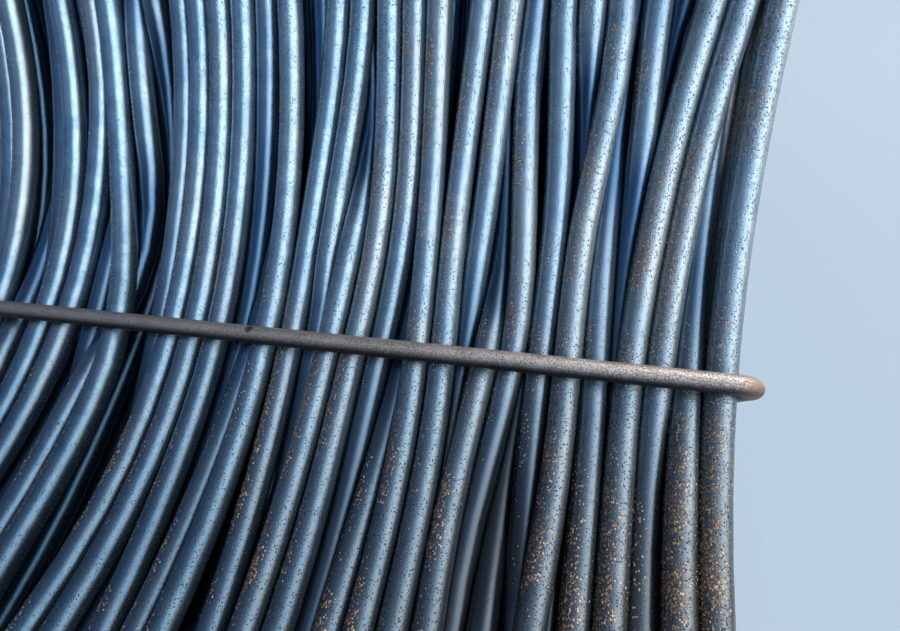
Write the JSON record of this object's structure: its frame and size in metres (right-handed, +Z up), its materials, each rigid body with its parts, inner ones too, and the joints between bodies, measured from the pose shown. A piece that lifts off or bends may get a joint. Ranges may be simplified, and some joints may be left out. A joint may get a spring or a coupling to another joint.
{
  "type": "coil of wire rod",
  "caption": "Round coil of hot-rolled steel wire rod lying on its side, with an open eye and twisted rod ties.",
  "frame": {"origin": "on the floor, under the middle of the coil", "axes": "+Z up, X along the coil's axis and through its eye, Y across it"},
  "size_m": [1.0228, 1.25, 1.25],
  "materials": {
    "coil_steel": "blue-grey mill scale with specks of orange rust",
    "tie_steel": "dull dark grey-brown mill scale"
  },
  "bodies": {
    "root": {"wire_rod_coil": "coil_steel", "tie_1": "tie_steel", "tie_2": "tie_steel", "tie_3": "tie_steel", "tie_4": "tie_steel"}
  },
  "joints": []
}
